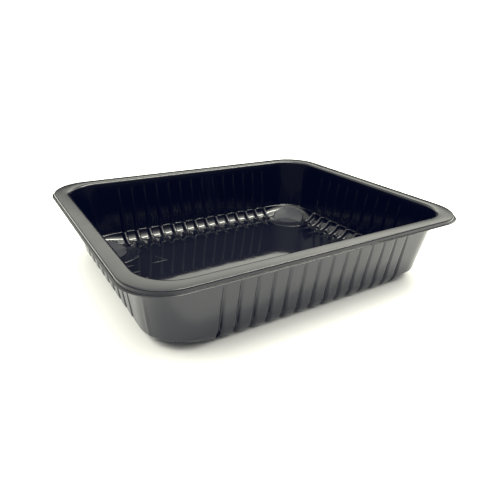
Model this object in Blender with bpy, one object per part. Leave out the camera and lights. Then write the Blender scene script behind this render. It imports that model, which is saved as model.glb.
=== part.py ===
"""Shallow rectangular food tray, thermoformed from one black plastic sheet.

The frame origin is the centre of the underside, +Z points up out of the mouth and the long side lies
along X. All driving dimensions are in millimetres; the geometry is built in metres.
"""

import math

import bmesh
import bpy
import numpy as np
from mathutils import Matrix, Vector

MM = 0.001

# Overall
HALF_LENGTH = 162.5
HALF_WIDTH = 132.5
HEIGHT = 67.4
SHEET = 0.8

# Rim: a flat flange with a small stepped lip round its outer edge
LIP_WIDTH = 1.8
LIP_DROP = 3.3
STEP_RUN = 0.3
FLANGE_WIDTH = 12.6
ROLL_RADIUS = 3.0

# Wall
WALL_DRAFT = math.radians(7.6)
LEDGE_HEIGHT = 11.1
LEDGE_STEP = 0.6
LEDGE_DROP = 0.4

# Grooves: pressed inwards, seen as ridges from inside the tray
LONG_SIDE_PITCH = 14.3
LONG_SIDE_GROOVES = 14
SHORT_SIDE_PITCH = 15.4
SHORT_SIDE_GROOVES = 9
GROOVE_TOP = 61.9
GROOVE_RUN_IN = 6.0
GROOVE_START_SHARE = 0.42
GROOVE_DEPTH = 3.8
MOUTH_TOP = 0.9
MOUTH_LOW = 2.1
CREST_TOP = 0.35
CREST_LOW = 0.75
MOUTH_RUN = 24.0
FLANK_SHIFT = 0.5

# Round turn from the wall into the floor, and the low ribs that run in from the grooves
PANEL_TURN_RADIUS = 12.4
CREST_TURN_RADIUS = 9.2
TURN_STEPS = 4
ROLL_STEPS = 3
RIB_RISE = 1.4

# Floor: a ring of flat feet round a slightly raised middle, level with the ribs
FOOT_INNER = 62.0
MIDDLE_EDGE = 66.0

# The rib nearest to each corner stops before the last rows, and in the very last its columns are drawn in
ROWS_PAST_LAST_RIB = 3
ROWS_DRAWN_IN = 2
LAST_RIB_SHIFT = 0.55

# Plan corner radii of the top surface
LIP_CORNER = 36.0
FLANGE_CORNER = 31.0
LEDGE_CORNER = 35.0
TURN_CORNER = 49.0
TURN_CORNER_INSET = 27.0
FOOT_OUTER_CORNER = 44.0
FOOT_INNER_CORNER = 14.0
MIDDLE_CORNER = 10.0
CORNER_STEPS = 12

# Round facets that slope from the bottom corners towards the middle, each inside a low ring-shaped rib
FACET_RADIUS = 18.5
FACET_INSET = (46.8, 47.7)
FACET_TOP = 9.6
FACET_TILT = math.radians(20.0)
FACET_REACH = 25.0
FACET_SEGMENTS = 40
RING_RADIUS = 30.0
RING_RISE = 1.3
RING_REACH = 3.0
RING_SEGMENTS = 32

# Room left above and outside the rim when the two skins are closed into cutting solids
CAP_CLEARANCE = 10.0
SIDE_CLEARANCE = 4.0

PLASTIC_COLOUR = (0.012, 0.013, 0.016, 1.0)
PLASTIC_ROUGHNESS = 0.28
SHARP_ANGLE = math.radians(32.0)


def clear_scene():
    """Remove every object that the new file starts with."""
    for item in list(bpy.data.objects):
        bpy.data.objects.remove(item, do_unlink=True)


def fillet(before, corner, after, radius, steps):
    """Points of the arc that rounds the corner of a two-line path, both tangent points included."""
    corner = np.array(corner)
    back = np.array(before) - corner
    ahead = np.array(after) - corner
    back /= np.linalg.norm(back)
    ahead /= np.linalg.norm(ahead)
    half_opening = 0.5 * math.acos(float(np.clip(back @ ahead, -1.0, 1.0)))
    bisector = back + ahead
    bisector /= np.linalg.norm(bisector)
    centre = corner + bisector * radius / math.sin(half_opening)
    tangent_length = radius / math.tan(half_opening)
    start = corner + back * tangent_length - centre
    end = corner + ahead * tangent_length - centre
    sweep = math.pi - 2.0 * half_opening
    arc = []
    for step in range(steps + 1):
        share = step / steps
        arc.append(
            centre
            + (math.sin((1.0 - share) * sweep) * start + math.sin(share * sweep) * end) / math.sin(sweep)
        )
    return arc


def turn_into_floor(start, radius, floor_height):
    """Points of the arc from a place on the wall down to where it lies level with a floor height."""
    rise = radius + floor_height - start[1]
    centre_inset = start[0] + math.sqrt(radius**2 - rise**2)
    first = math.asin(rise / radius)
    points = []
    for step in range(TURN_STEPS + 1):
        angle = first + step / TURN_STEPS * (math.pi / 2 - first)
        points.append(
            (centre_inset - radius * math.cos(angle), floor_height + radius * (1.0 - math.sin(angle)))
        )
    return points


def wall_inset(height, depth=0.0):
    """Distance of the wall's top surface from the outer edge at a height, pressed in by a depth."""
    top = LIP_WIDTH + FLANGE_WIDTH
    return top + (HEIGHT - height) * math.tan(WALL_DRAFT) + depth


def rim_rows():
    """Inset and height of the rim's rows on the top surface, from the lip to the head of the wall."""
    flange_end = (LIP_WIDTH + FLANGE_WIDTH, HEIGHT)
    rows = [
        (0.0, HEIGHT - LIP_DROP),
        (LIP_WIDTH - STEP_RUN, HEIGHT - LIP_DROP),
        (LIP_WIDTH, HEIGHT),
    ]
    below = (wall_inset(GROOVE_TOP), GROOVE_TOP)
    rows += [tuple(p) for p in fillet(rows[-1], flange_end, below, ROLL_RADIUS, ROLL_STEPS)]
    return np.array(rows)


def side_rows(depth, radius, floor_height):
    """Inset and height of the top surface's rows from the groove tops down to the flat of the floor."""
    start = GROOVE_TOP - GROOVE_RUN_IN
    ledge = wall_inset(LEDGE_HEIGHT, depth)
    rows = [
        (wall_inset(GROOVE_TOP), GROOVE_TOP),
        (wall_inset(start, depth * GROOVE_START_SHARE), start),
        (ledge, LEDGE_HEIGHT),
    ]
    return rows + turn_into_floor((ledge + LEDGE_STEP, LEDGE_HEIGHT - LEDGE_DROP), radius, floor_height)


def panel_rows():
    """Rows of the plain wall between two grooves, ending on the flat foot and the raised middle."""
    rows = side_rows(0.0, PANEL_TURN_RADIUS, SHEET)
    rows += [(FOOT_INNER, SHEET), (MIDDLE_EDGE, SHEET + RIB_RISE)]
    return np.array(rows)


def crest_rows():
    """Rows along the crest of a groove, which runs on as a low rib level with the raised middle."""
    top = SHEET + RIB_RISE
    rows = side_rows(GROOVE_DEPTH, CREST_TURN_RADIUS, top)
    rows += [(FOOT_INNER, top), (MIDDLE_EDGE, top)]
    return np.array(rows)


def corner_centres(insets, foot_outer):
    """Distance of the plan corner's arc centre from the outer edge, for each row of the top surface."""
    corners = (
        (0.0, LIP_CORNER),
        (LIP_WIDTH + FLANGE_WIDTH, FLANGE_CORNER),
        (wall_inset(LEDGE_HEIGHT), LEDGE_CORNER),
        (TURN_CORNER_INSET, TURN_CORNER),
        (foot_outer, FOOT_OUTER_CORNER),
        (FOOT_INNER, FOOT_INNER_CORNER),
        (MIDDLE_EDGE, MIDDLE_CORNER),
    )
    stations, radii = zip(*corners)
    return insets + np.interp(insets, stations, radii)


def underside(rows):
    """The rows moved down and outwards by the sheet's thickness, measured square to the section."""
    steps = np.diff(rows, axis=0)
    steps /= np.linalg.norm(steps, axis=1)[:, None]
    normals = np.column_stack([steps[:, 1], -steps[:, 0]])
    before = np.vstack([normals[:1], normals])
    after = np.vstack([normals, normals[-1:]])
    mitre = before + after
    mitre *= (SHEET / (1.0 + np.sum(before * after, axis=1)))[:, None]
    return rows + mitre


def groove_columns(pitch, count, mouth, crest, last_share, draw):
    """Distance along a side from its middle, and share of full depth, of the columns of half its grooves.

    The first column is the side's middle, on a crest where the number of grooves is odd. The groove nearest
    to the corner has its own share of the depth, and draw pulls its columns in towards its neighbour.
    """
    odd = count % 2
    distances = [0.0]
    shares = [float(odd)]
    if odd:
        distances += [crest, mouth]
        shares += [1.0, 0.0]
    for index in range(count // 2):
        centre = (index + (1.0 + odd) / 2.0) * pitch
        distances += [centre - mouth, centre - crest, centre + crest, centre + mouth]
        shares += [0.0, 1.0, 1.0, 0.0]
    distances = np.array(distances)
    shares = np.array(shares)
    shares[-4:] *= last_share
    kept = (count - 3) / 2.0 * pitch + mouth
    distances -= np.maximum(distances - kept, 0.0) * draw
    return distances, shares


def side_points(distances, shares, panel, crest, centre, half_side, half_span):
    """Along, across and up coordinates of the columns of half a side, in one row."""
    radius = centre - panel[0]
    past = np.maximum(distances - (half_side - centre), 0.0)
    sag = radius - np.sqrt(radius**2 - past**2)
    insets = panel[0] + shares * (crest[0] - panel[0])
    heights = panel[1] + shares * (crest[1] - panel[1])
    return distances, half_span - insets - sag, heights


def corner_points(start, end, inset, centre):
    """Plan points round one corner, spread evenly along it between two points of the same row."""
    radius = centre - inset
    middle_x = HALF_LENGTH - centre
    middle_y = HALF_WIDTH - centre
    turn_start = math.asin(max(0.0, start - middle_x) / radius)
    turn_end = math.pi / 2 - math.asin(max(0.0, end - middle_y) / radius)
    run_in = max(0.0, middle_x - start)
    run_out = max(0.0, middle_y - end)
    arc = radius * (turn_end - turn_start)
    points = []
    for step in range(1, CORNER_STEPS):
        way = step / CORNER_STEPS * (run_in + arc + run_out)
        if way < run_in:
            points.append((start + way, middle_y + radius))
        elif way > run_in + arc:
            points.append((middle_x + radius, middle_y - (way - run_in - arc)))
        else:
            turn = turn_start + (way - run_in) / radius
            points.append((middle_x + radius * math.sin(turn), middle_y + radius * math.cos(turn)))
    return points


def quarter_row(panel, crest, centre, mouth, crest_half, last_share=1.0, draw=0.0):
    """One row of the quarter with positive X and Y, from the middle of the long side to the short one's."""
    along, share = groove_columns(LONG_SIDE_PITCH, LONG_SIDE_GROOVES, mouth, crest_half, last_share, draw)
    x, y, z = side_points(along, share, panel, crest, centre, HALF_LENGTH, HALF_WIDTH)
    long_side = np.column_stack([x, y, z])
    along, share = groove_columns(SHORT_SIDE_PITCH, SHORT_SIDE_GROOVES, mouth, crest_half, last_share, draw)
    y, x, z = side_points(along, share, panel, crest, centre, HALF_WIDTH, HALF_LENGTH)
    short_side = np.column_stack([x, y, z])[::-1]
    corner = corner_points(long_side[-1, 0], short_side[0, 1], panel[0], centre)
    corner = np.array([(px, py, panel[1]) for px, py in corner])
    return np.vstack([long_side, corner, short_side])


def full_row(quarter):
    """The closed row made from a quarter by reflection in both upright planes of symmetry."""
    lower = quarter[::-1] * (1.0, -1.0, 1.0)
    half = np.vstack([quarter, lower[1:]])
    other = half[::-1] * (-1.0, 1.0, 1.0)
    return np.vstack([half, other[1:-1]])


def plain_columns():
    """Indices, within a full row, of the columns that a row without grooves keeps."""
    long_count = 1 + 2 * LONG_SIDE_GROOVES
    short_count = 1 + 2 * SHORT_SIDE_GROOVES
    last = long_count + CORNER_STEPS - 1 + short_count - 1
    quarter = [0, *range(long_count - 1, long_count + CORNER_STEPS), last]
    half = quarter + [2 * last - i for i in quarter[-2::-1]]
    return half + [4 * last - i for i in half[-2:0:-1]]


def skin_rows(rim, panel, crest, rim_centres, side_centres, widening):
    """All rows of one skin: the plain ones of the rim, then the grooved ones of the wall and floor."""
    keep = plain_columns()
    rows = []
    for point, centre in zip(rim, rim_centres):
        row = full_row(quarter_row(point, point, centre, MOUTH_TOP, CREST_TOP))
        rows.append(row[keep])
    for number, (low, high, centre) in enumerate(zip(panel, crest, side_centres)):
        depth_share = float(np.clip((GROOVE_TOP - low[1]) / MOUTH_RUN, 0.0, 1.0))
        mouth = MOUTH_TOP + (MOUTH_LOW - MOUTH_TOP) * depth_share + widening
        crest_half = CREST_TOP + (CREST_LOW - CREST_TOP) * depth_share + widening
        last_share = 0.0 if number >= len(panel) - ROWS_PAST_LAST_RIB else 1.0
        draw = LAST_RIB_SHIFT if number >= len(panel) - ROWS_DRAWN_IN else 0.0
        rows.append(full_row(quarter_row(low, high, centre, mouth, crest_half, last_share, draw)))
    return rows


def closed_skin(name, rows, cap_height, outer_ring):
    """A closed solid with a skin below, the skin's outermost ring at the sides and a flat cap above."""
    top = outer_ring.copy()
    top[:, 2] = cap_height
    rings = [top, outer_ring, *rows]
    mesh = bmesh.new()
    rings = [[mesh.verts.new(Vector(p) * MM) for p in ring] for ring in rings]
    mesh.faces.new(rings[0])
    mesh.faces.new(rings[-1])
    keep = plain_columns() + [len(rings[-1])]
    for ring, following in zip(rings, rings[1:]):
        sizes = (len(ring), len(following))
        for i in range(sizes[0]):
            j = (i + 1) % sizes[0]
            if sizes[0] == sizes[1]:
                strip = [following[j], following[i]]
            else:
                strip = [following[k % sizes[1]] for k in range(keep[i + 1], keep[i] - 1, -1)]
            mesh.faces.new([ring[i], ring[j], *strip])
    bmesh.ops.recalc_face_normals(mesh, faces=mesh.faces)
    data = bpy.data.meshes.new(name)
    mesh.to_mesh(data)
    mesh.free()
    item = bpy.data.objects.new(name, data)
    bpy.context.collection.objects.link(item)
    return item


def add_ring(mesh, centre_x, centre_y, widening, sink):
    """Add one closed ring with a four-cornered section to a mesh: a low rib when it is cut from below."""
    top = SHEET + RING_RISE - sink
    floor = SHEET - sink
    section = (
        (-MOUTH_LOW - widening, floor - RING_REACH),
        (-MOUTH_LOW - widening, floor),
        (-CREST_LOW - widening, top),
        (CREST_LOW + widening, top),
        (MOUTH_LOW + widening, floor),
        (MOUTH_LOW + widening, floor - RING_REACH),
    )
    rings = []
    for step in range(RING_SEGMENTS):
        turn = 2.0 * math.pi * step / RING_SEGMENTS
        ring = []
        for across, height in section:
            radius = RING_RADIUS + across
            place = (centre_x + radius * math.cos(turn), centre_y + radius * math.sin(turn), height)
            ring.append(mesh.verts.new(Vector(place) * MM))
        rings.append(ring)
    for step in range(RING_SEGMENTS):
        ring = rings[step]
        following = rings[(step + 1) % RING_SEGMENTS]
        for i in range(len(section)):
            j = (i + 1) % len(section)
            mesh.faces.new([ring[i], following[i], following[j], ring[j]])


def corner_solids(name, radius, sink, widening):
    """The forms pressed up in the four bottom corners: a tilted cylinder inside a low ring in each."""
    mesh = bmesh.new()
    centre_height = FACET_TOP - FACET_RADIUS * math.sin(FACET_TILT)
    for side_x in (-1, 1):
        for side_y in (-1, 1):
            normal = Vector((-side_x, -side_y, 0.0)).normalized() * math.sin(FACET_TILT)
            normal.z = math.cos(FACET_TILT)
            centre_x = side_x * (HALF_LENGTH - FACET_INSET[0])
            centre_y = side_y * (HALF_WIDTH - FACET_INSET[1])
            centre = Vector((centre_x, centre_y, centre_height))
            centre -= normal * (sink + FACET_REACH / 2)
            turn = normal.to_track_quat("Z", "Y").to_matrix().to_4x4()
            bmesh.ops.create_cone(
                mesh,
                cap_ends=True,
                segments=FACET_SEGMENTS,
                radius1=radius * MM,
                radius2=radius * MM,
                depth=FACET_REACH * MM,
                matrix=Matrix.Translation(centre * MM) @ turn,
            )
            add_ring(mesh, centre_x, centre_y, widening, sink)
    bmesh.ops.recalc_face_normals(mesh, faces=mesh.faces)
    data = bpy.data.meshes.new(name)
    mesh.to_mesh(data)
    mesh.free()
    item = bpy.data.objects.new(name, data)
    bpy.context.collection.objects.link(item)
    return item


def cut(target, cutter):
    """Subtract one closed solid from another and remove the cutter."""
    step = target.modifiers.new("cut", "BOOLEAN")
    step.operation = "DIFFERENCE"
    step.solver = "EXACT"
    step.object = cutter
    graph = bpy.context.evaluated_depsgraph_get()
    result = bpy.data.meshes.new_from_object(target.evaluated_get(graph))
    target.modifiers.clear()
    target.data = result
    bpy.data.objects.remove(cutter, do_unlink=True)


def plastic():
    """Black polypropylene sheet with a soft gloss."""
    material = bpy.data.materials.new("black_plastic")
    material.use_nodes = True
    shader = material.node_tree.nodes["Principled BSDF"]
    shader.inputs["Base Color"].default_value = PLASTIC_COLOUR
    shader.inputs["Roughness"].default_value = PLASTIC_ROUGHNESS
    shader.inputs["Metallic"].default_value = 0.0
    material.diffuse_color = PLASTIC_COLOUR
    return material


def build_tray():
    """The tray: the solid above its lower skin, less the solid above its upper skin."""
    rim = rim_rows()
    panel = panel_rows()
    crest = crest_rows()
    foot_outer = panel[-3, 0]
    rim_centres = corner_centres(rim[:, 0], foot_outer)
    side_centres = corner_centres(panel[:, 0], foot_outer)

    upper_rows = skin_rows(rim, panel, crest, rim_centres, side_centres, FLANK_SHIFT)
    beyond = upper_rows[0].copy()
    beyond[:, :2] *= 1.0 + SIDE_CLEARANCE / HALF_WIDTH
    cavity = closed_skin("cavity", upper_rows, HEIGHT + 2 * CAP_CLEARANCE, beyond)

    lower_panel = underside(np.vstack([rim, panel]))
    lower_crest = underside(np.vstack([rim, crest]))
    count = len(rim)
    lower_rows = skin_rows(
        lower_panel[:count], lower_panel[count:], lower_crest[count:], rim_centres, side_centres, 0.0
    )
    tray = closed_skin("tray", lower_rows[1:], HEIGHT + CAP_CLEARANCE, lower_rows[0])

    cut(tray, corner_solids("recesses", FACET_RADIUS - SHEET, SHEET, 0.0))
    cut(cavity, corner_solids("bosses", FACET_RADIUS, 0.0, FLANK_SHIFT))
    cut(tray, cavity)

    tray.data.materials.clear()
    tray.data.materials.append(plastic())
    tray.data.shade_smooth()
    tray.data.set_sharp_from_angle(angle=SHARP_ANGLE)
    return tray


def main():
    clear_scene()
    build_tray()


main()
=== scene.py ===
"""Shallow food tray, thermoformed from black polypropylene sheet, dressed over its CAD frame.

Lengths inside the tray's classes are millimetres and are turned to metres when a mesh is written. The frame
is the CAD part's own: the origin under the middle of the tray, +X along the long side, +Z up.
"""

import logging
import math
from dataclasses import dataclass, field
from enum import Enum

import bpy
import numpy as np
from mathutils import Matrix, Vector


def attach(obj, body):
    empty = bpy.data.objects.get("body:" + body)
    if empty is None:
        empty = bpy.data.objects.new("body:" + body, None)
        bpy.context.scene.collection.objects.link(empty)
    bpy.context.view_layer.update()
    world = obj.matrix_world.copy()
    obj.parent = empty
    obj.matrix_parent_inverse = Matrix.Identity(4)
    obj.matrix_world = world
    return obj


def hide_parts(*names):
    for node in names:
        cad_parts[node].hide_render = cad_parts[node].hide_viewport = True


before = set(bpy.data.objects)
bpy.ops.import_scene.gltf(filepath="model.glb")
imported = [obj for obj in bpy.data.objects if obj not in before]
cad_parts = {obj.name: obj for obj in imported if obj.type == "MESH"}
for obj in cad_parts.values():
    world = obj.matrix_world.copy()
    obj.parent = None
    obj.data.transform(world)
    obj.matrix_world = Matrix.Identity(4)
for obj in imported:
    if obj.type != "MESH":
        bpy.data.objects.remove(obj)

MM = 0.001
# Share of an arc's radius that a column may lie past the arc's start, short of where the arc turns back.
ARC_LIMIT = 0.999
LOG = logging.getLogger("food_tray")


class Side(Enum):
    """The two kinds of side of the tray."""

    LONG = "long"
    SHORT = "short"


def linear_colour(code: str) -> tuple[float, float, float, float]:
    """Turn an sRGB hex colour into linear light: the standard piecewise 2.4 power curve.

    Args:
        code: six hex digits with a leading hash.

    Returns:
        Red, green, blue and an alpha of one.
    """
    raw = np.array([int(code[i : i + 2], 16) for i in (1, 3, 5)]) / 255.0
    light = np.where(raw <= 0.04045, raw / 12.92, ((raw + 0.055) / 1.055) ** 2.4)
    return (float(light[0]), float(light[1]), float(light[2]), 1.0)


def add_node(
    tree: bpy.types.NodeTree,
    kind: str,
    settings: dict[str | int, object] | None = None,
    links: dict[str | int, bpy.types.NodeSocket] | None = None,
) -> bpy.types.Node:
    """Add one shader node with its settings and its incoming links.

    Args:
        tree: the node tree that takes the node.
        kind: the node's type name.
        settings: attribute names, or input names or numbers, with their values.
        links: input names or numbers with the output sockets that feed them.

    Returns:
        The new node.
    """
    node = tree.nodes.new(kind)
    for name, value in (settings or {}).items():
        if isinstance(name, str) and hasattr(node, name):
            setattr(node, name, value)
        else:
            node.inputs[name].default_value = value
    for name, socket in (links or {}).items():
        tree.links.new(socket, node.inputs[name])
    return node


def write_mesh(name: str, points: np.ndarray, faces: np.ndarray, caps: np.ndarray) -> bpy.types.Object:
    """Put vertices, four-sided faces and three-sided faces into one smooth-shaded mesh object.

    Args:
        name: the object's name.
        points: vertices in millimetres, one row each.
        faces: four vertex numbers a row.
        caps: three vertex numbers a row.

    Returns:
        The object, linked into the scene.
    """
    mesh = bpy.data.meshes.new(name)
    corners = np.concatenate([faces.ravel(), caps.ravel()]).astype(np.int32)
    sizes = np.concatenate([np.full(len(faces), 4), np.full(len(caps), 3)]).astype(np.int32)
    starts = np.concatenate([[0], np.cumsum(sizes)[:-1]]).astype(np.int32)
    mesh.vertices.add(len(points))
    mesh.vertices.foreach_set("co", (points * MM).astype(np.float32).ravel())
    mesh.loops.add(len(corners))
    mesh.loops.foreach_set("vertex_index", corners)
    mesh.polygons.add(len(sizes))
    mesh.polygons.foreach_set("loop_start", starts)
    mesh.update(calc_edges=True)
    mesh.validate()
    mesh.shade_smooth()
    item = bpy.data.objects.new(name, mesh)
    bpy.context.collection.objects.link(item)
    return item


def write_share(item: bpy.types.Object, name: str, values: np.ndarray) -> None:
    """Give a mesh object one number for each vertex, which its material reads by name."""
    item.data.attributes.new(name, "FLOAT", "POINT").data.foreach_set("value", values.astype(np.float32))


def write_quarters(name: str, points: np.ndarray, faces: np.ndarray, caps: np.ndarray) -> bpy.types.Object:
    """Write one quarter's mesh and its reflections in both upright middle planes as one object.

    A single reflection turns the faces' order round, so that all of them keep facing outward.

    Args:
        name: the object's name.
        points: vertices of the quarter with positive X and Y, in millimetres.
        faces: four vertex numbers a row.
        caps: three vertex numbers a row.

    Returns:
        The object, linked into the scene.
    """
    mirrors = [(1.0, 1.0, 1.0), (-1.0, 1.0, 1.0), (-1.0, -1.0, 1.0), (1.0, -1.0, 1.0)]
    flips = [1 if mirror[0] * mirror[1] > 0 else -1 for mirror in mirrors]
    return write_mesh(
        name,
        np.vstack([points * mirror for mirror in mirrors]),
        np.vstack([faces[:, ::flip] + number * len(points) for number, flip in enumerate(flips)]),
        np.vstack([caps[:, ::flip] + number * len(points) for number, flip in enumerate(flips)]),
    )


def ring_faces(rings: int, columns: int, turned: bool = False) -> tuple[np.ndarray, np.ndarray]:
    """Faces between closed rings of vertices, and the fans that close the first and the last ring.

    The vertices are numbered ring by ring. Two more follow them, the middles of the first and the last ring.

    Args:
        rings: number of rings.
        columns: number of vertices in each ring.
        turned: whether every face's order is turned round.

    Returns:
        Four vertex numbers a row for the faces, and three a row for the fans.
    """
    index = np.arange(rings * columns).reshape(rings, columns)
    ahead = np.roll(index, -1, axis=1)
    faces = np.stack([index[:-1], index[1:], ahead[1:], ahead[:-1]], axis=-1).reshape(-1, 4)
    middle = np.full(columns, index.size)
    fans = np.vstack([
        np.column_stack([middle, index[0], ahead[0]]),
        np.column_stack([middle + 1, ahead[-1], index[-1]]),
    ])
    return (faces[:, [0, 3, 2, 1]], fans[:, [0, 2, 1]]) if turned else (faces, fans)


def smooth_step(value: np.ndarray, low: float, high: float) -> np.ndarray:
    """Cubic ease from nought at low to one at high."""
    share = np.clip((value - low) / (high - low), 0.0, 1.0)
    return share * share * (3.0 - 2.0 * share)


def rounded_path(corners: list[tuple[float, float, float]], steps: tuple[int, ...]) -> np.ndarray:
    """Points of a flat path whose inner corners are rounded.

    Each corner becomes an arc tangent to both its lines: the arc's centre lies on the corner's bisector, at
    the radius over the sine of half the opening, and the points are spread evenly over the turn.

    Args:
        corners: inset, height and radius of each corner, the first and last with no radius.
        steps: the number of arc segments at each inner corner.

    Returns:
        Inset and height of the path's points, both ends and both ends of each arc included.
    """
    rows = [np.array([corners[0][:2]])]
    for index, count in enumerate(steps, start=1):
        corner = np.array(corners[index][:2])
        radius = corners[index][2]
        back = np.array(corners[index - 1][:2]) - corner
        ahead = np.array(corners[index + 1][:2]) - corner
        back /= np.linalg.norm(back)
        ahead /= np.linalg.norm(ahead)
        half_opening = 0.5 * math.acos(float(np.clip(back @ ahead, -1.0, 1.0)))
        bisector = (back + ahead) / np.linalg.norm(back + ahead)
        centre = corner + bisector * radius / math.sin(half_opening)
        reach = radius / math.tan(half_opening)
        start = corner + back * reach - centre
        end = corner + ahead * reach - centre
        sweep = math.pi - 2.0 * half_opening
        share = np.linspace(0.0, 1.0, count + 1)[:, None]
        turned = np.sin((1.0 - share) * sweep) * start + np.sin(share * sweep) * end
        rows.append(centre + turned / math.sin(sweep))
    rows.append(np.array([corners[-1][:2]]))
    return np.vstack(rows)


@dataclass
class Outline:
    """The tray's outline seen from above, and how its corner radius changes inwards.

    The crease is the thin upright rib on each corner. The mesh's columns gather towards it.
    """

    half_length: float = 162.5
    half_width: float = 132.5
    stations: tuple[float, ...] = (0.0, 14.4, 21.9, 27.0, 34.7, 66.0, 70.0)
    corner_radii: tuple[float, ...] = (36.0, 31.0, 35.0, 49.0, 44.0, 14.0, 10.0)
    corner_columns: int = 34
    crease_turn: float = math.radians(68.0)
    crease_half_width: float = 0.9
    crease_rise: float = 0.75
    crease_foot: tuple[float, float] = (10.5, 12.5)
    crease_head: tuple[float, float] = (20.0, 62.0)
    crease_gather: float = 0.62
    crease_gather_width: float = 7.0

    def half_sizes(self, side: Side) -> tuple[float, float]:
        """Half the tray's size along a side, and half its size across it."""
        sizes = (self.half_length, self.half_width)
        return sizes if side is Side.LONG else sizes[::-1]

    def corner_centre(self, insets: np.ndarray) -> np.ndarray:
        """Distance of each row's corner arc centre from the tray's outer edge."""
        return insets + np.interp(insets, self.stations, self.corner_radii)

    def crease(self, beside: np.ndarray, heights: np.ndarray) -> np.ndarray:
        """Outward height of the thin upright rib on each corner, which ends abruptly at the ledge.

        Args:
            beside: distances from the rib's line, along the corner.
            heights: heights of the same points.

        Returns:
            The rib's height over the plain corner, a bell curve across it.
        """
        share = smooth_step(heights, *self.crease_foot) * (1.0 - smooth_step(heights, *self.crease_head))
        return self.crease_rise * share * np.exp(-((beside / self.crease_half_width) ** 2))


@dataclass
class Grooves:
    """The grooves of one kind of side: evenly spaced, pressed inwards, widest at the bottom."""

    side: Side
    pitch: float
    count: int
    profile: tuple[float, ...] = (-1.4, -1.0, -0.75, -0.5, -0.25, 0.0, 0.25, 0.5, 0.75, 1.0, 1.4)
    easing: float = 1.3
    last_panel_columns: int = 7

    @property
    def odd(self) -> int:
        """One where a groove lies in the side's middle, else nought."""
        return self.count % 2

    def lateral(
        self, half_widths: np.ndarray, fades: np.ndarray, draws: np.ndarray
    ) -> tuple[np.ndarray, np.ndarray]:
        """Place the columns of half a side and give each its share of the groove's depth.

        Across a groove the depth follows a parabola, raised to the easing power, which eases its feet. The
        rib nearest to the corner fades out over the lower rows, and on the floor its columns are drawn in
        towards its neighbour.

        Args:
            half_widths: half the groove's width in each row.
            fades: how far the last rib has faded in each row.
            draws: share of their distance by which the last columns are drawn in, in each row.

        Returns:
            Distances from the side's middle and depth shares, rows by columns.
        """
        across = np.array(self.profile)
        depth = (1.0 - np.clip(across, -1.0, 1.0) ** 2) ** self.easing
        rows = len(half_widths)
        widths = half_widths[:, None]
        distances, shares = [], []
        if self.odd:
            right = across > 0.0
            distances.append(widths * across[None, right])
            shares.append(np.broadcast_to(depth[right], (rows, right.sum())))
        whole = self.count // 2
        for index in range(whole):
            centre = (index + (1 + self.odd) / 2) * self.pitch
            if index == whole - 1:
                share = np.linspace(0.0, 1.0, self.last_panel_columns + 2)[None, 1:-1]
                low = centre - self.pitch + widths * across[-1]
                high = centre + widths * across[0]
                distances.append(low + share * (high - low))
                shares.append(np.zeros((rows, self.last_panel_columns)))
            kept = 1.0 if index < whole - 1 else (1.0 - fades)[:, None]
            distances.append(centre + widths * across[None])
            shares.append(kept * np.broadcast_to(depth, (rows, len(across))))
        distance = np.concatenate(distances, axis=1)
        fixed = (self.count - 3) / 2 * self.pitch + widths * across[-1]
        distance = distance - np.maximum(distance - fixed, 0.0) * draws[:, None]
        return distance, np.concatenate(shares, axis=1)


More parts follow.
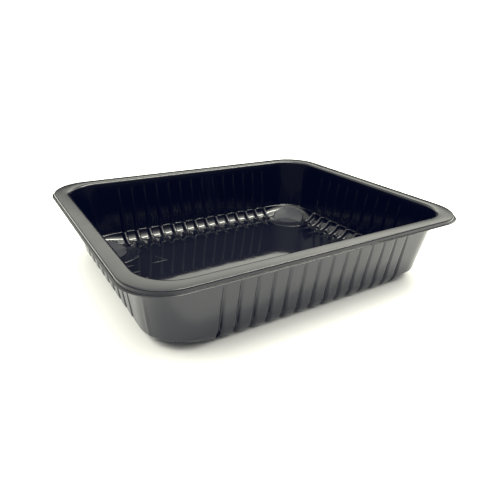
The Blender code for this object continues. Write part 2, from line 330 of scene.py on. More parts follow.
@dataclass
class Section:
    """The tray's cross-section, as the middle of the sheet, for the panels and for the groove crests.

    Insets are measured from the tray's outer edge and heights from the surface that it stands on. The foot is
    the level floor next to the turn, on which the grooves' crests run on as low ribs.
    """

    height: float = 67.4
    sheet: float = 0.6
    edge_inset: float = 0.15
    lip_inset: float = 1.9
    step_inset: float = 2.2
    wall_inset: float = 14.0
    lip_drop: float = 3.3
    lip_radius: float = 0.5
    step_radius: float = 0.8
    roll_radius: float = 2.4
    rim_steps: tuple[int, int, int] = (3, 4, 6)
    halved_step: int = 8
    draft: float = math.radians(7.6)
    groove_top: float = 61.9
    groove_run_in: float = 6.0
    groove_start_share: float = 0.12
    groove_depth: float = 3.4
    wall_foot: float = 12.5
    run_in_rows: int = 5
    wall_rows: int = 4
    ledge_height: float = 11.0
    ledge_step: float = 0.9
    ledge_drop: float = 0.1
    ledge_radius: float = 0.34
    ledge_steps: tuple[int, int] = (3, 3)
    panel_turn_radius: float = 12.5
    crest_turn_radius: float = 22.0
    turn_steps: int = 12
    rib_rise: float = 1.2
    rib_falling: float = 2.5
    foot_inner: float = 66.0
    middle_edge: float = 70.0
    foot_rows: int = 17
    inner_rows: int = 4

    @property
    def base(self) -> float:
        """Height of the middle of the sheet where the tray stands."""
        return self.sheet / 2

    def wall(self, height: float | np.ndarray) -> float | np.ndarray:
        """Inset of the middle of the wall's sheet at a height: a straight line at the draft angle."""
        return self.wall_inset + (self.height - height) * math.tan(self.draft)

    def rim(self) -> np.ndarray:
        """Rows from the lip's edge over the flange to the head of the wall.

        The path is a line with three rounded corners, and one of its short steps is halved by its mean.

        Returns:
            Inset and height of each row.
        """
        lip = self.height - self.lip_drop - self.base
        top = self.height - self.base
        corners = [
            (self.edge_inset, lip, 0.0),
            (self.lip_inset, lip, self.lip_radius),
            (self.step_inset, top, self.step_radius),
            (self.wall(top), top, self.roll_radius),
            (self.wall(self.groove_top), self.groove_top, 0.0),
        ]
        path = rounded_path(corners, self.rim_steps)
        between = path[self.halved_step : self.halved_step + 2].mean(axis=0)
        return np.insert(path, self.halved_step + 1, between, axis=0)

    def turn(self, start: tuple[float, float], radius: float, floor: float) -> np.ndarray:
        """Arc from a place on the wall down to where it lies level with the floor.

        The arc's centre stands one radius above the floor, and its inset is the start's plus the root of the
        radius squared less the square of the centre's height over the start.

        Args:
            start: inset and height of the arc's first point.
            radius: the arc's radius.
            floor: height of the floor that the arc meets.

        Returns:
            Inset and height of the arc's points.
        """
        over = radius + floor - start[1]
        centre = start[0] + math.sqrt(radius**2 - over**2)
        first = math.asin(over / radius)
        angle = np.linspace(first, math.pi / 2, self.turn_steps + 1)
        return np.column_stack([centre - radius * np.cos(angle), floor + radius * (1.0 - np.sin(angle))])

    def side(self, depth: float, radius: float, floor: float) -> np.ndarray:
        """Rows from the head of the wall down to the level of the floor.

        The wall is a straight line at the draft angle, with the groove's depth growing along a quarter circle
        at the top and then evenly down to the ledge. The ledge is a short step inwards, and the round turn
        follows it.

        Args:
            depth: full depth of the groove, nought on a panel.
            radius: radius of the turn into the floor.
            floor: height of the middle of the sheet at the turn's end.

        Returns:
            Inset and height of each row.
        """
        start = self.groove_top - self.groove_run_in
        run_in = np.linspace(self.groove_top, start, self.run_in_rows)
        heights = np.concatenate([run_in, np.linspace(start, self.wall_foot, self.wall_rows)[1:]])
        below = np.clip((self.groove_top - heights) / self.groove_run_in, 0.0, 1.0)
        fallen = np.clip((start - heights) / (start - self.ledge_height), 0.0, 1.0)
        share = np.where(
            below < 1.0,
            self.groove_start_share * (1.0 - np.sqrt(1.0 - below**2)),
            self.groove_start_share + (1.0 - self.groove_start_share) * fallen,
        )
        upper = np.column_stack([self.wall(heights) + depth * share, heights])
        edge = self.wall(self.ledge_height) + depth
        inner = (edge + self.ledge_step, self.ledge_height - self.ledge_drop)
        arc = self.turn(inner, radius, floor)
        corners = [
            (*upper[-1], 0.0),
            (edge, self.ledge_height, self.ledge_radius),
            (*inner, self.ledge_radius),
            (*arc[1], 0.0),
        ]
        return np.vstack([upper, rounded_path(corners, self.ledge_steps)[1:], arc[2:]])

    def panel(self) -> np.ndarray:
        """Rows of a plain panel, down to the foot and on to the floor's middle."""
        return self.with_floor(self.side(0.0, self.panel_turn_radius, self.base))

    def crest(self) -> np.ndarray:
        """Rows along a groove's crest, which runs on as a low rib and falls to the level of the foot."""
        level = self.base + self.rib_rise
        return self.with_floor(self.side(self.groove_depth, self.crest_turn_radius, level))

    def with_floor(self, rows: np.ndarray) -> np.ndarray:
        """Add the rows of the foot and those on to the edge of the floor's middle.

        A rib's height over the foot is its first height times a power of the share of the way that is left.

        Args:
            rows: inset and height of the rows down to the level of the floor.

        Returns:
            Inset and height of all rows.
        """
        insets = np.linspace(rows[-1, 0], self.foot_inner, self.foot_rows + 1)[1:]
        left = (self.foot_inner - insets) / (self.foot_inner - rows[-1, 0])
        heights = self.base + (rows[-1, 1] - self.base) * left**self.rib_falling
        inner = np.linspace(self.foot_inner, self.middle_edge, self.inner_rows + 1)[1:]
        level = np.full_like(inner, self.base)
        return np.vstack([rows, np.column_stack([insets, heights]), np.column_stack([inner, level])])


@dataclass
class CornerForms:
    """The round flat facet that slopes from each bottom corner, and the place of the ring round it.

    The slacks say how far a vertex may lie from the facet's circle and plane and still count as the facet's.
    """

    radius: float = 18.5
    inset: tuple[float, float] = (46.8, 47.7)
    tilt: float = math.radians(20.0)
    rim_height: float = 9.6
    press_over: float = 1.0
    snap: float = 0.65
    edge_slack: float = 0.1
    plane_slack: float = 0.7
    ring_radius: float = 30.0
    ring_half_width: float = 0.9
    floor_height: float = 2.6
    within_ring_share: float = 0.3

    @property
    def middle_height(self) -> float:
        """Height of the facet's middle, on the upper face of the sheet."""
        return self.rim_height - self.radius * math.sin(self.tilt)

    def centre(self, outline: Outline) -> np.ndarray:
        """Plan position of the facet's middle in the quarter with positive X and Y."""
        return np.array([outline.half_length - self.inset[0], outline.half_width - self.inset[1]])

    def measure(self, points: np.ndarray, outline: Outline) -> tuple[np.ndarray, np.ndarray, np.ndarray]:
        """Measure points of all four quarters from the middle of their quarter's facet.

        Args:
            points: positions, with X, Y and Z on the last axis.
            outline: the tray's plan.

        Returns:
            Plan offsets from the facet's middle, distances outwards along its slope's plan direction, and
            distances from its middle in its own plane, where those outwards count over the tilt's cosine.
        """
        local = np.abs(points[..., :2]) - self.centre(outline)
        along = (local[..., 0] + local[..., 1]) / math.sqrt(2.0)
        beside = (local[..., 0] - local[..., 1]) / math.sqrt(2.0)
        return local, along, np.hypot(along / math.cos(self.tilt), beside)

    def press(self, points: np.ndarray, outline: Outline, base: float) -> np.ndarray:
        """Press the sheet to the facet's plane.

        Points closer to the facet's circle than the snapping distance are moved radially onto it, in plan, so
        that the mesh's edges follow the circle. Inside it, the sheet takes the height of the plane, which
        falls towards the tray's middle at the facet's tilt, as far as the plane is above the foot.

        Args:
            points: positions, rows by columns by three.
            outline: the tray's plan.
            base: height of the sheet's middle where the tray stands.

        Returns:
            The changed positions.
        """
        out = points.copy()
        side = np.where(points[..., :2] >= 0.0, 1.0, -1.0)
        local, along, away = self.measure(points, outline)
        low = points[..., 2] < self.rim_height + self.press_over
        near = (np.abs(away - self.radius) < self.snap) & low
        pull = np.where(near, self.radius / np.maximum(away, self.snap), 1.0)
        plane = self.middle_height - base + along * pull * math.tan(self.tilt)
        above = plane > base
        placed = side * (local * pull[..., None] + self.centre(outline))
        out[..., :2] = np.where((near & above)[..., None], placed, points[..., :2])
        out[..., 2] = np.where((away <= self.radius) & low & above, plane, points[..., 2])
        return out

    def facet_share(self, points: np.ndarray, outline: Outline) -> np.ndarray:
        """How satin the corner forms are and how much painted sheen they take: one on the facets, less on the
        floor between facet and ring.

        Args:
            points: positions on the upper face, rows by columns by three.
            outline: the tray's plan.

        Returns:
            One share for each point, nought outside the corner forms.
        """
        local, along, away = self.measure(points, outline)
        level = self.middle_height + along * math.tan(self.tilt)
        on_plane = np.abs(points[..., 2] - level) < self.plane_slack
        on_plane &= away < self.radius + self.edge_slack
        from_ring = self.ring_radius - self.ring_half_width - np.hypot(local[..., 0], local[..., 1])
        within = (from_ring > 0.0) & (points[..., 2] < self.floor_height) & (along < 0.0)
        return np.where(on_plane, 1.0, np.where(within, self.within_ring_share, 0.0))


@dataclass
class FacetDisc:
    """The crisp round face of each corner facet, with its own small rounded edge."""

    forms: CornerForms = field(default_factory=CornerForms)
    outline: Outline = field(default_factory=Outline)
    section: Section = field(default_factory=Section)
    columns: int = 96
    flat_shares: tuple[float, ...] = (0.35, 0.7, 0.93)
    edge_points: int = 6
    edge_radius: float = 0.4
    rise: float = 0.12
    depth: float = 0.6
    lowest: float = 0.3

    def profile(self) -> np.ndarray:
        """Radius and height over the facet's plane, from the flat face over the edge to the underside.

        The edge is a quarter circle whose centre lies one edge radius inwards and below the face.

        Returns:
            Radius and height of each ring.
        """
        angle = np.linspace(math.pi / 2, 0.0, self.edge_points)
        flat = [[self.forms.radius * share, self.rise] for share in self.flat_shares]
        arc = np.column_stack([
            self.forms.radius - self.edge_radius + self.edge_radius * np.cos(angle),
            self.rise - self.edge_radius + self.edge_radius * np.sin(angle),
        ])
        return np.vstack([flat, arc, [[self.forms.radius, -self.depth]]])

    def build(self, finish: bpy.types.Material) -> bpy.types.Object:
        """Build the four discs as one object.

        Each ring is the disc's middle plus its profile's radius, turned in the facet's plane, and its
        profile's height along the plane's normal. Where a disc would pass under the foot it stays within the
        sheet.

        Args:
            finish: the plastic's material.

        Returns:
            The discs' object.
        """
        forms = self.forms
        root = math.sqrt(0.5)
        flat, steep = root * math.cos(forms.tilt), math.sin(forms.tilt)
        outward = np.array([flat, flat, steep])
        beside = np.array([root, -root, 0.0])
        normal = np.array([-root * steep, -root * steep, math.cos(forms.tilt)])
        centre = np.append(forms.centre(self.outline), forms.middle_height - self.section.base)
        centre += normal * self.section.sheet / 2
        turn = np.linspace(0.0, 2.0 * math.pi, self.columns, endpoint=False)
        way = np.cos(turn)[:, None] * outward + np.sin(turn)[:, None] * beside
        profile = self.profile()
        rings = centre + profile[:, 0, None, None] * way[None] + profile[:, 1, None, None] * normal
        ends = [centre + normal * profile[0, 1], centre + normal * profile[-1, 1]]
        points = np.vstack([rings.reshape(-1, 3), ends])
        points[:, 2] = np.maximum(points[:, 2], self.lowest)
        faces, fans = ring_faces(len(profile), self.columns, turned=True)
        item = write_quarters("corner_facet_discs", points, faces, fans)
        # The discs are fully satin and take full painted sheen, a lighter grey base colour.
        everywhere = np.ones(len(item.data.vertices), dtype=np.float32)
        write_share(item, "satin", everywhere)
        write_share(item, "painted_sheen", everywhere)
        item.data.materials.append(finish)
        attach(item, "root")
        return item


@dataclass
class RingBead:
    """The thin raised line round each corner's facet, from ledge to ledge across the turn and the floor.

    The tips are the angles of the half wave at which the bead's two ends are cut.
    """

    forms: CornerForms = field(default_factory=CornerForms)
    outline: Outline = field(default_factory=Outline)
    section: Section = field(default_factory=Section)
    inward: float = math.radians(225.0)
    sweep: float = math.radians(108.0)
    steps: int = 90
    around: int = 8
    rise: float = 0.55
    wall_gap: float = 9.0
    tips: tuple[float, float] = (0.0005, 0.999 * math.pi + 0.0005)
    tip_power: float = 0.15

    def line(self) -> np.ndarray:
        """Points of the bead's line in the quarter with positive X and Y.

        The plan is an arc about the facet's centre. The height is the panel section's at the smaller of the
        two distances from the tray's edges.

        Returns:
            Positions along the line.
        """
        turn = self.inward + np.linspace(-self.sweep, self.sweep, self.steps + 1)
        circle = np.column_stack([np.cos(turn), np.sin(turn)])
        plan = self.forms.centre(self.outline) + self.forms.ring_radius * circle
        inset = np.min([self.outline.half_length, self.outline.half_width] - plan, axis=1)
        panel = self.section.panel()
        height = np.interp(inset, panel[:, 0], panel[:, 1]) + self.section.sheet / 2
        kept = inset > panel[0, 0] + self.wall_gap
        return np.column_stack([plan, height])[kept]

    def build(self, finish: bpy.types.Material) -> bpy.types.Object:
        """Build the four beads as one object of closed tubes with pointed ends.

        The tube's section is an ellipse across the line, and its size follows a low power of a half sine wave
        along the line.

        Args:
            finish: the plastic's material.

        Returns:
            The beads' object.
        """
        line = self.line()
        along = np.gradient(line, axis=0)
        along /= np.linalg.norm(along, axis=1, keepdims=True)
        beside = np.cross(along, (0.0, 0.0, 1.0))
        beside /= np.linalg.norm(beside, axis=1, keepdims=True)
        upward = np.cross(beside, along)
        share = np.sin(np.linspace(*self.tips, len(line))) ** self.tip_power
        angle = np.linspace(0.0, 2.0 * math.pi, self.around, endpoint=False)
        width = self.forms.ring_half_width * share[:, None, None] * np.cos(angle)[None, :, None]
        rise = self.rise * share[:, None, None] * np.sin(angle)[None, :, None]
        tube = line[:, None] + width * beside[:, None] + rise * upward[:, None]
        points = np.vstack([tube.reshape(-1, 3), line[:1], line[-1:]])
        faces, fans = ring_faces(len(line), self.around)
        item = write_quarters("corner_ring_beads", points, faces, fans)
        item.data.materials.append(finish)
        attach(item, "root")
        return item


@dataclass
class Rows:
    """Measures of the sheet's rows, one entry for each row from the lip to the floor's middle.

    panel and crest hold inset and height; centre holds the corner arcs' centres, from the tray's outer edge;
    half_width, fade and draw belong to the grooves and ribs.
    """

    panel: np.ndarray
    crest: np.ndarray
    centre: np.ndarray
    half_width: np.ndarray
    fade: np.ndarray
    draw: np.ndarray


@dataclass
class Tray:
    """The whole tray: one sheet with a lip, flange, grooved walls, ribbed floor and corner facets.

    The bands are the insets, or for satin_foot and satin_head the heights, over which a measure changes.
    """

    outline: Outline = field(default_factory=Outline)
    section: Section = field(default_factory=Section)
    forms: CornerForms = field(default_factory=CornerForms)
    long_side: Grooves = field(default_factory=lambda: Grooves(Side.LONG, 14.3, 14))
    short_side: Grooves = field(default_factory=lambda: Grooves(Side.SHORT, 15.4, 9))
    groove_half_top: float = 1.25
    groove_half_low: float = 2.75
    groove_run: float = 52.0
    rib_half: float = 1.1
    rib_draw: float = 0.55
    narrowing_band: tuple[float, float] = (36.0, 58.0)
    fading_band: tuple[float, float] = (29.5, 35.0)
    drawing_band: tuple[float, float] = (44.0, 66.0)
    middle_rings: int = 3
    edge_bulge: float = 0.9
    wall_satin: float = 0.12
    outer_satin: float = 0.3
    satin_foot: tuple[float, float] = (11.0, 14.0)
    satin_head: tuple[float, float] = (55.0, 62.0)
    # Painted sheen on the floor: a lighter grey base colour that grows towards the floor's middle.
    floor_painted_sheen: float = 0.2
    painted_sheen_band: tuple[float, float] = (40.0, 70.0)

    def rows(self) -> Rows:
        """Measure the rows: the grooves widen evenly down the wall and narrow to ribs on the floor.

        Returns:
            The rows' measures, from the lip to the edge of the floor's middle.
        """
        rim = self.section.rim()[:-1]
        panel = np.vstack([rim, self.section.panel()])
        falling = np.clip((self.section.groove_top - panel[:, 1]) / self.groove_run, 0.0, 1.0)
        wide = self.groove_half_top + (self.groove_half_low - self.groove_half_top) * falling
        return Rows(
            panel=panel,
            crest=np.vstack([rim, self.section.crest()]),
            centre=self.outline.corner_centre(panel[:, 0]),
            half_width=wide + (self.rib_half - wide) * smooth_step(panel[:, 0], *self.narrowing_band),
            fade=smooth_step(panel[:, 0], *self.fading_band),
            draw=self.rib_draw * smooth_step(panel[:, 0], *self.drawing_band),
        )

    def half_side(self, grooves: Grooves, rows: Rows) -> np.ndarray:
        """Place the columns of half a side in every row, from the side's middle towards the corner.

        A column keeps its distance from the side's middle. Past the corner's tangent point it falls back by
        the arc's sag, the radius less the root of the radius squared less the overrun squared.

        Args:
            grooves: the side's grooves.
            rows: the rows' measures.

        Returns:
            Positions, rows by columns by three, the side's middle first.
        """
        half_side, half_span = self.outline.half_sizes(grooves.side)
        distance, share = grooves.lateral(rows.half_width, rows.fade, rows.draw)
        radius = (rows.centre - rows.panel[:, 0])[:, None]
        tangent = (half_side - rows.centre)[:, None]
        past = np.minimum(np.maximum(distance - tangent, 0.0), radius * ARC_LIMIT)
        sag = radius - np.sqrt(radius**2 - past**2)
        inset = rows.panel[:, :1] + share * (rows.crest[:, :1] - rows.panel[:, :1]) + sag
        height = rows.panel[:, 1:] + share * (rows.crest[:, 1:] - rows.panel[:, 1:])
        middle = rows.crest if grooves.odd else rows.panel
        along = np.hstack([np.zeros_like(middle[:, :1]), distance])
        across = half_span - np.hstack([middle[:, :1], inset])
        plan = [along, across] if grooves.side is Side.LONG else [across, along]
        return np.stack([*plan, np.hstack([middle[:, 1:], height])], axis=-1)

    def corner(self, start: np.ndarray, end: np.ndarray, rows: Rows) -> np.ndarray:
        """Spread columns round one corner in every row, along its straight ends and its arc.

        The columns are even but for a gathering towards the upright rib: each one's distance from the rib is
        shortened by a share that falls off as a bell curve.

        Args:
            start: distance along the long side where the corner's columns begin.
            end: distance along the short side where they end.
            rows: the rows' measures.

        Returns:
            Positions, rows by columns by three.
        """
        plan = self.outline
        radius = rows.centre - rows.panel[:, 0]
        middle_x = plan.half_length - rows.centre
        middle_y = plan.half_width - rows.centre
        turn_start = np.arcsin(np.clip((start - middle_x) / radius, 0.0, ARC_LIMIT))
        turn_end = math.pi / 2 - np.arcsin(np.clip((end - middle_y) / radius, 0.0, ARC_LIMIT))
        run_in = np.maximum(middle_x - start, 0.0)
        run_out = np.maximum(middle_y - end, 0.0)
        arc = radius * (turn_end - turn_start)
        share = np.arange(1, plan.corner_columns) / plan.corner_columns
        way = share[None, :] * (run_in + arc + run_out)[:, None]
        line = (run_in + radius * (plan.crease_turn - turn_start))[:, None]
        away = (way - line) / plan.crease_gather_width
        way = way - (way - line) * plan.crease_gather * np.exp(-(away**2))
        turned = np.clip(way - run_in[:, None], 0.0, arc[:, None]) / radius[:, None]
        turn = turn_start[:, None] + turned
        before = np.minimum(way - run_in[:, None], 0.0)
        after = np.maximum(way - (run_in + arc)[:, None], 0.0)
        z = np.broadcast_to(rows.panel[:, 1:], way.shape)
        reach = radius[:, None] + plan.crease(way - line, z)
        x = middle_x[:, None] + reach * np.sin(turn) + before
        y = middle_y[:, None] + reach * np.cos(turn) - after
        return np.stack([x, y, z], axis=-1)

    def quarter(self, rows: Rows) -> np.ndarray:
        """Join two half sides and the corner between them into the quarter with positive X and Y.

        Args:
            rows: the rows' measures.

        Returns:
            Positions, rows by columns by three, from the long side's middle to the short side's.
        """
        long_part = self.half_side(self.long_side, rows)
        short_part = self.half_side(self.short_side, rows)[:, ::-1]
        corner = self.corner(long_part[:, -1, 0], short_part[:, 0, 1], rows)
        return np.concatenate([long_part, corner, short_part], axis=1)

    def whole(self, quarter: np.ndarray) -> np.ndarray:
        """Reflect a quarter in both upright middle planes into closed rows.

        Args:
            quarter: positions of the quarter with positive X and Y.

        Returns:
            Positions of the whole sheet's middle, with no column twice.
        """
        lower = quarter[:, ::-1] * (1.0, -1.0, 1.0)
        half = np.concatenate([quarter, lower[:, 1:]], axis=1)
        other = half[:, ::-1] * (-1.0, 1.0, 1.0)
        return np.concatenate([half, other[:, 1:-1]], axis=1)

    def middle(self, edge: np.ndarray) -> np.ndarray:
        """Rings of the floor's middle: the edge ring drawn in evenly towards the centre."""
        share = np.linspace(1.0, 0.0, self.middle_rings + 2)[1:-1]
        return edge[None] * np.stack([share, share, np.ones_like(share)], axis=-1)[:, None, :]

    def normals(self, points: np.ndarray) -> np.ndarray:
        """Unit normals of a closed grid: the cross product of its central differences both ways.

        Args:
            points: positions, rows by columns by three.

        Returns:
            Normals of the same shape, which point upwards on the floor.
        """
        around = np.roll(points, -1, axis=1) - np.roll(points, 1, axis=1)
        normal = np.cross(np.gradient(points, axis=0), around)
        normal /= np.linalg.norm(normal, axis=-1, keepdims=True)
        return normal * np.sign(normal[-1, 0, 2])

    def spread(self, inside: np.ndarray, middle: float, outside: float) -> np.ndarray:
        """Lay out shares in the order of the mesh's vertices.

        Args:
            inside: shares of the upper face, rows by columns.
            middle: share of the point in the middle of the upper face.
            outside: share of all points of the edge and the lower face.

        Returns:
            One share for each vertex.
        """
        below = np.full(inside.size + inside.shape[1], outside)
        return np.concatenate([inside[::-1].ravel(), below, [middle, outside]])

    def satin(self, upper: np.ndarray) -> np.ndarray:
        """How satin each vertex is: nought on the floor inside, one on the facets, between them elsewhere.

        Args:
            upper: the upper face's positions, rows by columns by three.

        Returns:
            One share for each vertex of the mesh.
        """
        wall = self.wall_satin * smooth_step(upper[..., 2], *self.satin_foot)
        rim = self.outer_satin * smooth_step(upper[..., 2], *self.satin_head)
        facet = self.forms.facet_share(upper, self.outline)
        return self.spread(np.maximum(np.maximum(wall, rim), facet), 0.0, self.outer_satin)

    def painted_sheen(self, upper: np.ndarray) -> np.ndarray:
        """Painted sheen by vertex, a lighter grey base colour: all on the outer side and facets, little on
        the floor.

        Args:
            upper: the upper face's positions, rows by columns by three.

        Returns:
            One share for each vertex of the mesh.
        """
        inset = np.min([self.outline.half_length, self.outline.half_width] - np.abs(upper[..., :2]), axis=-1)
        floor = self.floor_painted_sheen * smooth_step(inset, *self.painted_sheen_band)
        facet = self.forms.facet_share(upper, self.outline)
        return self.spread(np.maximum(floor, facet), self.floor_painted_sheen, 1.0)

    def build(self, finish: bpy.types.Material) -> bpy.types.Object:
        """Build the tray as one closed sheet and dress it.

        The middle of the sheet is worked out first. Half the sheet's thickness along the normal gives the
        upper face and the opposite half the lower one; a rounded edge joins them round the lip.

        Args:
            finish: the plastic's material.

        Returns:
            The tray's object.
        """
        sheet = self.forms.press(self.whole(self.quarter(self.rows())), self.outline, self.section.base)
        sheet = np.concatenate([sheet, self.middle(sheet[-1])])
        half = self.normals(sheet) * self.section.sheet / 2
        upper = sheet + half
        lower = sheet - half
        outward = sheet[0] - sheet[1]
        outward /= np.linalg.norm(outward, axis=-1, keepdims=True)
        edge = sheet[0] + outward * self.section.sheet / 2 * self.edge_bulge
        rings = np.concatenate([upper[::-1], edge[None], lower])
        ends = [[0.0, 0.0, upper[-1, 0, 2]], [0.0, 0.0, lower[-1, 0, 2]]]
        faces, fans = ring_faces(*rings.shape[:2])
        item = write_mesh("tray_sheet", np.vstack([rings.reshape(-1, 3), ends]), faces, fans)
        write_share(item, "satin", self.satin(upper))
        # Painted sheen: shares of the lighter grey base colour.
        write_share(item, "painted_sheen", self.painted_sheen(upper))
        item.data.materials.append(finish)
        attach(item, "root")
        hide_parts("tray")
        return item


@dataclass
class FloorMark:
    """A plain raised triangle outline on the floor."""

    middle: tuple[float, float] = (-79.0, 46.0)
    radius: float = 9.0
    half_width: float = 0.55
    rise: float = 0.45
    floor: float = 0.6
    points_a_side: int = 14
    around: int = 8

    def build(self, finish: bpy.types.Material) -> bpy.types.Object:
        """Build the outline as one closed bead: an elliptic profile carried round the triangle, half sunk.

        Args:
            finish: the plastic's material.

        Returns:
            The mark's object.
        """
        turn = math.pi / 2 + np.arange(3) * 2.0 * math.pi / 3
        corners = self.radius * np.column_stack([np.cos(turn), np.sin(turn)])
        share = np.arange(self.points_a_side)[None, :, None] / self.points_a_side
        line = corners[:, None] + share * (np.roll(corners, -1, axis=0)[:, None] - corners[:, None])
        line = line.reshape(-1, 2)
        outward = line / np.linalg.norm(line, axis=1, keepdims=True)
        angle = np.linspace(0.0, 2.0 * math.pi, self.around, endpoint=False)
        across = self.half_width * np.cos(angle)
        plan = line[:, None] + across[None, :, None] * outward[:, None] + np.array(self.middle)
        up = np.broadcast_to(self.floor + self.rise * np.sin(angle), plan.shape[:2])
        points = np.concatenate([plan, up[..., None]], axis=-1).reshape(-1, 3)
        index = np.arange(len(points)).reshape(up.shape)
        ahead = np.roll(index, -1, axis=0)
        faces = np.stack([index, ahead, np.roll(ahead, -1, axis=1), np.roll(index, -1, axis=1)], axis=-1)
        item = write_mesh("floor_mark", points, faces.reshape(-1, 4), np.empty((0, 3), int))
        item.data.materials.append(finish)
        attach(item, "root")
        return item


@dataclass(frozen=True)
class BlackPolypropylene:
    """Black polypropylene sheet, thermoformed.

    The inner walls and the floor are close to a mirror, while the outer side and above all the corner facets
    took a satin finish from their mould. The mesh says how satin each point is, and how much painted sheen it
    takes: a lighter grey base colour on the outer side, the facets and the floor's middle, which stands
    partly for the satin finish and partly for the sheen of light on it, where the inner walls keep the
    near-black colour. Slow waves are left where the sheet thinned in the mould, and a fine grain by the
    extruder's rolls.
    The real grain is finer than a tenth of a millimetre and is drawn coarser, so that it shows.
    """

    colour: str = "#02030a"
    # Painted sheen: the lighter grey that the base colour is mixed towards, standing in for the sheen of the
    # satin finish.
    painted_sheen_colour: str = "#191a21"
    ior: float = 1.49
    glossy_roughness: float = 0.055
    satin_roughness: float = 0.45
    wave_mm: float = 24.0
    wave_height_mm: float = 0.4
    wave_strength: float = 0.2
    wave_detail_roughness: float = 0.5
    wave_range: tuple[float, float] = (0.3, 0.7)
    roughness_change: tuple[float, float] = (0.85, 1.2)
    grain_mm: float = 0.6
    grain_height_mm: float = 0.02
    grain_strength: float = 0.08
    grain_detail_roughness: float = 0.6
    noise_detail: float = 2.0

    def make(self) -> bpy.types.Material:
        """Build the node material: gloss and colour follow the mesh's shares, and waves vary the gloss.

        Returns:
            The material.
        """
        material = bpy.data.materials.new("black_polypropylene_thermoformed")
        material.use_nodes = True
        tree = material.node_tree
        tree.nodes.clear()
        place = add_node(tree, "ShaderNodeTexCoord").outputs["Object"]
        satin = add_node(tree, "ShaderNodeAttribute", {"attribute_name": "satin"}).outputs["Fac"]
        painted_sheen = add_node(tree, "ShaderNodeAttribute", {"attribute_name": "painted_sheen"}).outputs["Fac"]
        # Painted sheen: the share mixes the near-black base colour towards the lighter grey.
        shade = add_node(
            tree,
            "ShaderNodeMix",
            {"data_type": "RGBA", 6: linear_colour(self.colour), 7: linear_colour(self.painted_sheen_colour)},
            {0: painted_sheen},
        )
        waves, grain = (
            add_node(
                tree,
                "ShaderNodeTexNoise",
                {"Scale": 1.0 / (size * MM), "Detail": self.noise_detail, "Roughness": detail_roughness},
                {"Vector": place},
            ).outputs["Fac"]
            for size, detail_roughness in (
                (self.wave_mm, self.wave_detail_roughness),
                (self.grain_mm, self.grain_detail_roughness),
            )
        )
        gloss = add_node(
            tree,
            "ShaderNodeMapRange",
            {"To Min": self.glossy_roughness, "To Max": self.satin_roughness},
            {"Value": satin},
        )
        patchy = add_node(
            tree,
            "ShaderNodeMapRange",
            {
                "From Min": self.wave_range[0],
                "From Max": self.wave_range[1],
                "To Min": self.roughness_change[0],
                "To Max": self.roughness_change[1],
            },
            {"Value": waves},
        )
        roughness = add_node(
            tree,
            "ShaderNodeMath",
            {"operation": "MULTIPLY"},
            {0: gloss.outputs["Result"], 1: patchy.outputs["Result"]},
        )
        slow = add_node(
            tree,
            "ShaderNodeBump",
            {"Strength": self.wave_strength, "Distance": self.wave_height_mm * MM},
            {"Height": waves},
        )
        fine = add_node(
            tree,
            "ShaderNodeBump",
            {"Strength": self.grain_strength, "Distance": self.grain_height_mm * MM},
            {"Height": grain, "Normal": slow.outputs["Normal"]},
        )
        shader = add_node(
            tree,
            "ShaderNodeBsdfPrincipled",
            {"IOR": self.ior, "Metallic": 0.0},
            {
                "Base Color": shade.outputs[2],
                "Roughness": roughness.outputs["Value"],
                "Normal": fine.outputs["Normal"],
            },
        )
        add_node(tree, "ShaderNodeOutputMaterial", None, {"Surface": shader.outputs["BSDF"]})
        return material


@dataclass(frozen=True)
class PaleFloor:
    """Smooth white painted studio floor, matt and lit so evenly that it has no edge or grain."""

    colour: str = "#f4f4f4"
    roughness: float = 0.9
    specular_level: float = 0.2
    half_size: float = 6.0

    def make(self) -> bpy.types.Object:
        """Build the floor just under the tray.

        Returns:
            The floor's object.
        """
        reach = self.half_size / MM
        points = reach * np.array([[-1.0, -1.0, 0.0], [1.0, -1.0, 0.0], [1.0, 1.0, 0.0], [-1.0, 1.0, 0.0]])
        item = write_mesh("studio_floor", points, np.array([[0, 1, 2, 3]]), np.empty((0, 3), int))
        material = bpy.data.materials.new("matt_white_floor")
        material.use_nodes = True
        shader = material.node_tree.nodes["Principled BSDF"]
        shader.inputs["Base Color"].default_value = linear_colour(self.colour)
        shader.inputs["Roughness"].default_value = self.roughness
        shader.inputs["Specular IOR Level"].default_value = self.specular_level
        item.data.materials.append(material)
        return item


@dataclass(frozen=True)
class Lamp:
    """One rectangular soft lamp that faces the tray: place and sizes in metres, power in watts."""

    name: str
    place: tuple[float, float, float]
    size: tuple[float, float]
    power: float
    mirrored: bool = True

    def hang(self, colour: tuple[float, ...]) -> bpy.types.Object:
        """Hang the lamp, which glossy surfaces show only where it is mirrored.

        Args:
            colour: the light's colour.

        Returns:
            The lamp's object.
        """
        data = bpy.data.lights.new(self.name, "AREA")
        data.shape = "RECTANGLE"
        data.size, data.size_y = self.size
        data.energy = self.power
        data.color = colour[:3]
        item = bpy.data.objects.new(self.name, data)
        facing = Vector(self.place).to_track_quat("Z", "Y").to_matrix().to_4x4()
        item.matrix_world = Matrix.Translation(self.place) @ facing
        item.visible_camera = False
        item.visible_glossy = self.mirrored
        bpy.context.collection.objects.link(item)
        return item


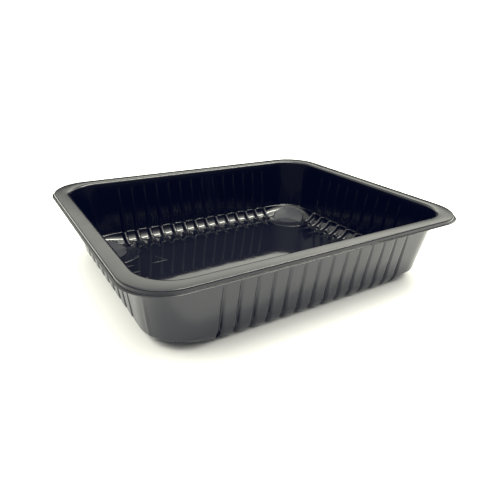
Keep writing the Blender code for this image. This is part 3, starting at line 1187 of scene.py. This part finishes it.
@dataclass
class Studio:
    """Camera, surroundings and lamps of a bright white product studio.

    far_side and near_side hold the surroundings' brightness by degrees above the horizon. ahead points to the
    far side, and brighter_way to the side on which it is brighter.
    """

    place: tuple[float, float, float] = (-224.46, -348.32, 200.77)
    azimuth: float = math.radians(-33.1175)
    elevation: float = math.radians(24.3435)
    roll: float = math.radians(2.1078)
    focal_share: float = 443.97 / 500.0
    sensor_mm: float = 36.0
    nearest: float = 0.01
    light_colour: tuple[float, float, float, float] = (1.0, 1.0, 0.87, 1.0)
    near_colour: tuple[float, float, float, float] = (1.0, 1.0, 0.91, 1.0)
    backdrop: float = 1.8
    black_level: tuple[float, float, float] = (0.0, -0.0008, -0.007)
    up: tuple[float, float, float] = (0.0, 0.0, 1.0)
    ahead: tuple[float, float, float] = (0.546, 0.838, 0.0)
    far_band: tuple[float, float] = (-0.2, 0.4)
    brighter_way: tuple[float, float, float] = (0.766, 0.643, 0.0)
    brighter_band: tuple[float, float] = (0.68, 0.92)
    brighter_gain: tuple[float, float] = (0.72, 1.1)
    far_side: tuple[tuple[float, float], ...] = (
        (0.0, 0.0), (15.0, 0.0), (18.5, 1.9), (21.0, 2.3), (27.0, 3.1), (38.0, 2.6), (55.0, 1.8), (90.0, 2.4)
    )
    near_side: tuple[tuple[float, float], ...] = (
        (0.0, 0.1), (20.0, 0.15), (34.0, 0.5), (46.0, 2.0), (65.0, 4.2), (90.0, 3.0)
    )
    lamps: tuple[Lamp, ...] = (
        Lamp("ceiling", (0.7, -0.1, 1.6), (1.3, 1.3), 14.0),
        Lamp("tube", (0.62, -0.05, 1.4), (0.16, 1.1), 22.0),
        Lamp("left", (-1.1, 0.0, 1.3), (0.9, 0.6), 11.0, mirrored=False),
    )

    def camera(self) -> bpy.types.Object:
        """Place the camera and make it the scene's own.

        Returns:
            The camera's object.
        """
        turn, rise = self.azimuth, self.elevation
        back = Vector((math.sin(turn) * math.cos(rise), -math.cos(turn) * math.cos(rise), math.sin(rise)))
        right = (-back).cross(Vector(self.up)).normalized()
        up = back.cross(right)
        right, up = (
            right * math.cos(self.roll) + up * math.sin(self.roll),
            up * math.cos(self.roll) - right * math.sin(self.roll),
        )
        data = bpy.data.cameras.new("camera")
        data.sensor_width = self.sensor_mm
        data.lens = self.focal_share * data.sensor_width
        data.clip_start = self.nearest
        item = bpy.data.objects.new("camera", data)
        axes = Matrix((right, up, back)).transposed().to_4x4()
        item.matrix_world = Matrix.Translation(Vector(self.place) * MM) @ axes
        bpy.context.collection.objects.link(item)
        bpy.context.scene.camera = item
        return item

    def rise(
        self, tree: bpy.types.NodeTree, height: bpy.types.NodeSocket, stops: tuple[tuple[float, float], ...]
    ) -> bpy.types.NodeSocket:
        """Brightness by height above the horizon.

        Args:
            tree: the world's node tree.
            height: the sine of the angle above the horizon.
            stops: angles in degrees with their brightness.

        Returns:
            The socket that carries the brightness.
        """
        most = max(value for _, value in stops)
        ramp = add_node(tree, "ShaderNodeValToRGB", None, {"Fac": height})
        elements = ramp.color_ramp.elements
        while len(elements) < len(stops):
            elements.new(0.5)
        for element, (angle, value) in zip(elements, stops):
            element.position = math.sin(math.radians(angle))
            element.color = (value / most, value / most, value / most, 1.0)
        scaled = add_node(
            tree, "ShaderNodeMath", {"operation": "MULTIPLY", 1: most}, {0: ramp.outputs["Color"]}
        )
        return scaled.outputs["Value"]

    def world(self) -> None:
        """Surround the tray with warm white light: a bright band far off, and dim low at the near side.

        Each height's brightness is a table's by the angle, and the near side's table turns into the far
        side's with the way ahead. The camera itself sees one even backdrop.
        """
        world = bpy.data.worlds.new("white_studio")
        world.use_nodes = True
        tree = world.node_tree
        way = add_node(tree, "ShaderNodeTexCoord").outputs["Generated"]
        height, depth, right = (
            add_node(
                tree, "ShaderNodeVectorMath", {"operation": "DOT_PRODUCT", 1: axis}, {0: way}
            ).outputs["Value"]
            for axis in (self.up, self.ahead, self.brighter_way)
        )
        share = add_node(
            tree,
            "ShaderNodeMapRange",
            {"interpolation_type": "SMOOTHSTEP", "From Min": self.far_band[0], "From Max": self.far_band[1]},
            {"Value": depth},
        ).outputs["Result"]
        gain = add_node(
            tree,
            "ShaderNodeMapRange",
            {
                "From Min": self.brighter_band[0],
                "From Max": self.brighter_band[1],
                "To Min": self.brighter_gain[0],
                "To Max": self.brighter_gain[1],
            },
            {"Value": right},
        )
        far = add_node(
            tree,
            "ShaderNodeMath",
            {"operation": "MULTIPLY"},
            {0: self.rise(tree, height, self.far_side), 1: gain.outputs["Result"]},
        )
        near = self.rise(tree, height, self.near_side)
        strength = add_node(
            tree, "ShaderNodeMapRange", None, {"Value": share, "To Min": near, "To Max": far.outputs["Value"]}
        )
        tint = add_node(
            tree,
            "ShaderNodeMix",
            {"data_type": "RGBA", 6: self.near_colour, 7: self.light_colour},
            {0: share},
        )
        seen = add_node(tree, "ShaderNodeLightPath").outputs["Is Camera Ray"]
        backdrop = add_node(
            tree,
            "ShaderNodeMapRange",
            {"To Max": self.backdrop},
            {"Value": seen, "To Min": strength.outputs["Result"]},
        )
        shade = tree.nodes["Background"]
        tree.links.new(tint.outputs[2], shade.inputs["Color"])
        tree.links.new(backdrop.outputs["Result"], shade.inputs["Strength"])
        bpy.context.scene.world = world

    def build(self) -> None:
        """Set up the camera, the surroundings, the lamps and the colour handling."""
        self.camera()
        self.world()
        for lamp in self.lamps:
            lamp.hang(self.light_colour)
        view = bpy.context.scene.view_settings
        view.view_transform = "Standard"
        view.look = "None"
        view.use_curve_mapping = True
        view.curve_mapping.black_level = self.black_level
        view.curve_mapping.update()


def main() -> None:
    """Build the tray's pieces, its floor and its studio, in that order, and report each one."""
    logging.basicConfig(level=logging.INFO)
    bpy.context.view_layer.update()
    finish = BlackPolypropylene().make()
    for piece in (Tray(), FloorMark(), FacetDisc(), RingBead()):
        item = piece.build(finish)
        LOG.info("%s: %d vertices, %d faces", item.name, len(item.data.vertices), len(item.data.polygons))
    PaleFloor().make()
    LOG.info("floor: laid")
    Studio().build()
    LOG.info("studio: camera and lamps placed")


if __name__ == "__main__":
    main()
